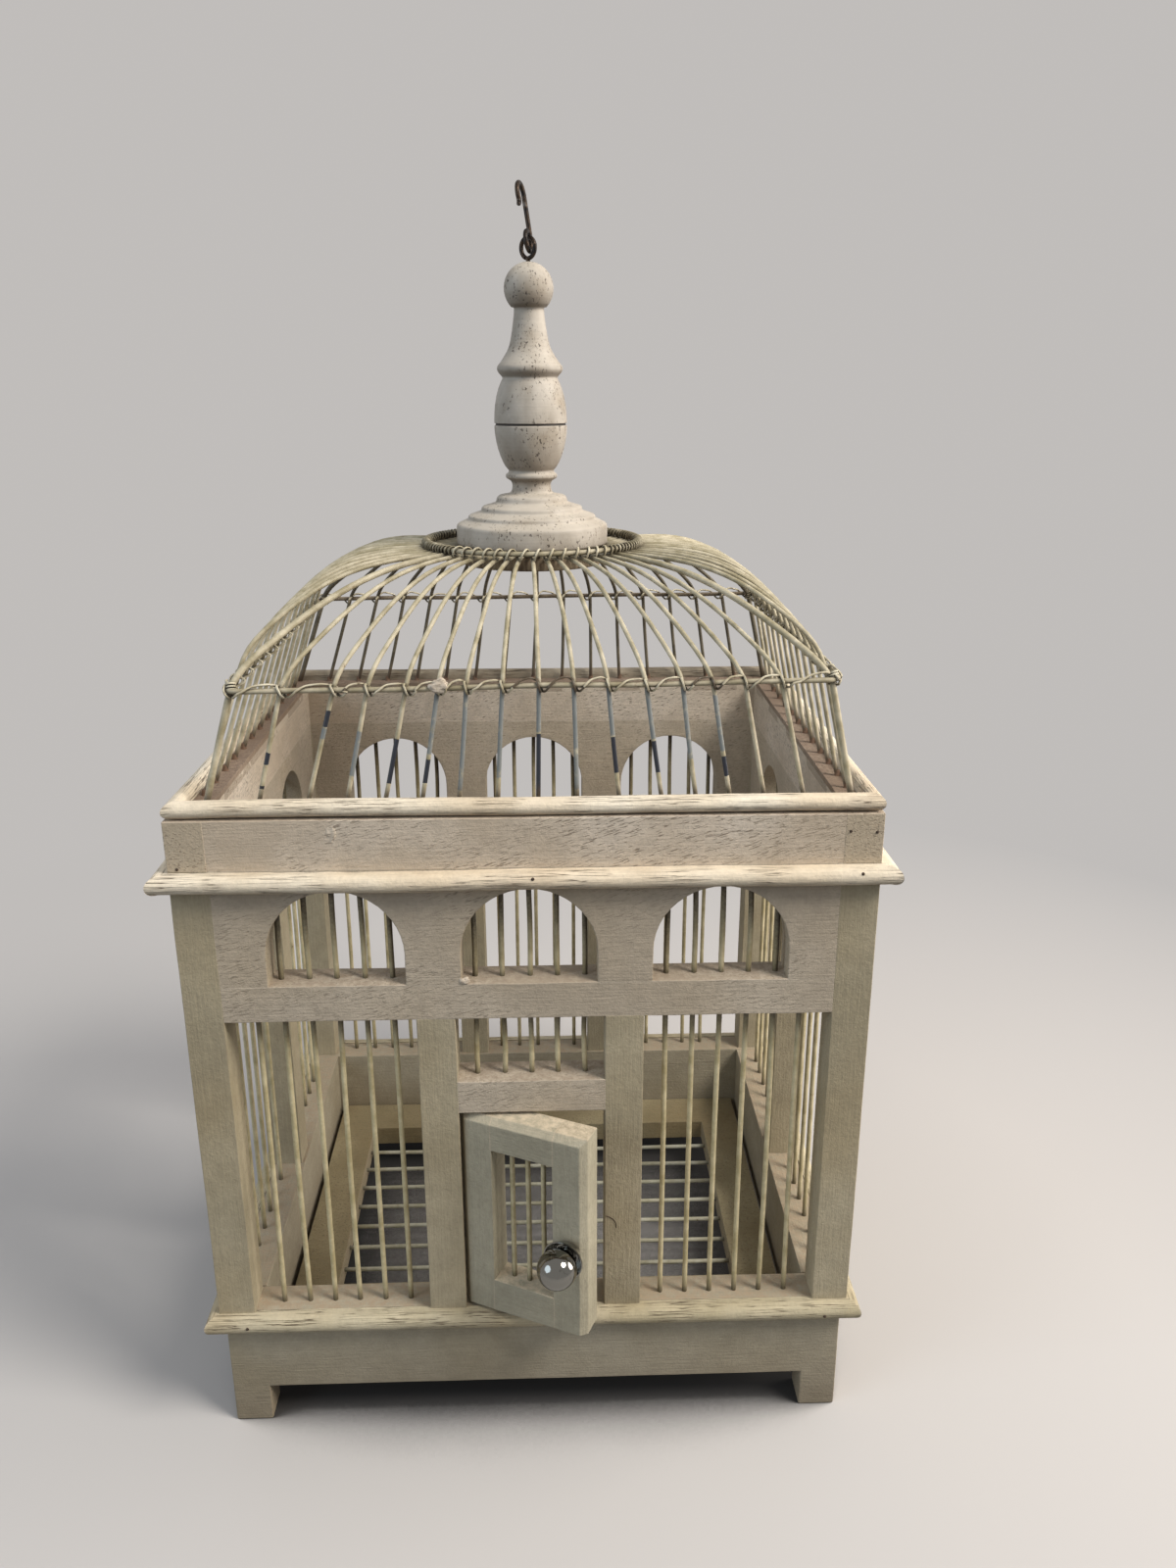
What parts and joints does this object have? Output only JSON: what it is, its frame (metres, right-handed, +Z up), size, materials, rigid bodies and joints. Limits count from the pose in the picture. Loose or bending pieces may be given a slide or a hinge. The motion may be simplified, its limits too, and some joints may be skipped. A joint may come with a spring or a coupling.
{
  "type": "bird cage",
  "caption": "Painted wood-and-wire bird cage with arched openings, a hinged front door, a wire dome, a turned finial and a hanging hook.",
  "frame": {"origin": "middle of the footprint with the door open as stored, on the ground under the feet", "axes": "+X to the right seen from the door, +Y from the door to the back, +Z up"},
  "size_m": [0.3154, 0.2981, 0.5713],
  "materials": {
    "painted_wood": "matt grey-cream paint on softwood, hairline cracks, worn",
    "painted_trim": "matt cream paint on softwood mouldings, worn to the grain",
    "painted_floor": "matt cream paint, dusty",
    "turned_wood": "matt grey-cream paint on turned wood, fine cracks",
    "underside_wood": "thin brown-grey paint",
    "painted_wire": "cream paint on steel wire, chipped to dark steel",
    "binding_wire": "thin steel wire, partly painted cream",
    "dark_steel": "dark oxidised steel",
    "knob_chrome": "polished, a little tarnished"
  },
  "bodies": {
    "cage": {"front_left_post": "painted_wood", "front_right_post": "painted_wood", "back_left_post": "painted_wood", "back_right_post": "painted_wood", "front_apron": "painted_wood", "right_apron": "painted_wood", "back_apron": "painted_wood", "left_apron": "painted_wood", "front_base_moulding": "painted_trim", "right_base_moulding": "painted_trim", "back_base_moulding": "painted_trim", "left_base_moulding": "painted_trim", "floor_panel": "painted_floor", "front_rail_and_bars": "painted_wood", "right_rail_and_bars": "painted_wood", "back_rail_and_bars": "painted_wood", "left_rail_and_bars": "painted_wood", "front_left_stile": "painted_wood", "front_right_stile": "painted_wood", "right_stile": "painted_wood", "back_left_stile": "painted_wood", "back_right_stile": "painted_wood", "left_stile": "painted_wood", "door_lintel": "painted_wood", "front_arch_board": "painted_wood", "right_arch_board": "painted_wood", "back_arch_board": "painted_wood", "left_arch_board": "painted_wood", "front_cornice": "painted_trim", "right_cornice": "painted_trim", "back_cornice": "painted_trim", "left_cornice": "painted_trim", "front_frieze": "painted_wood", "right_frieze": "painted_wood", "back_frieze": "painted_wood", "left_frieze": "painted_wood", "front_cap_board": "painted_trim", "right_cap_board": "painted_trim", "back_cap_board": "painted_trim", "left_cap_board": "painted_trim", "dome_front_wires": "painted_wire", "dome_right_wires": "painted_wire", "dome_back_wires": "painted_wire", "dome_left_wires": "painted_wire", "hoop_binding_wire": "binding_wire", "crown_binding_wire": "binding_wire", "crown_ring": "painted_wire", "crown_disc": "underside_wood", "finial": "turned_wood", "screw_eye": "dark_steel", "door_top_pin": "dark_steel", "door_bottom_pin": "dark_steel"},
    "door": {"door_hinge_stile": "painted_wood", "door_latch_stile": "painted_wood", "door_top_rail": "painted_wood", "door_bottom_rail_and_bars": "painted_wood", "door_knob": "knob_chrome", "door_knob_rose": "knob_chrome"},
    "hook": {"hanging_hook": "dark_steel"}
  },
  "joints": [
    {"name": "door_hinge", "type": "hinge", "parent": "cage", "child": "door", "pos_m": [-0.0249, -0.10171, 0.1196], "axis": [0, 0, 1], "range_deg": [-70, 25]},
    {"name": "hook_swing", "type": "hinge", "parent": "cage", "child": "hook", "pos_m": [0.0026, 0.01639, 0.548], "axis": [-0.954, 0.2556, -0.1564], "range_deg": [-80, 80]}
  ]
}
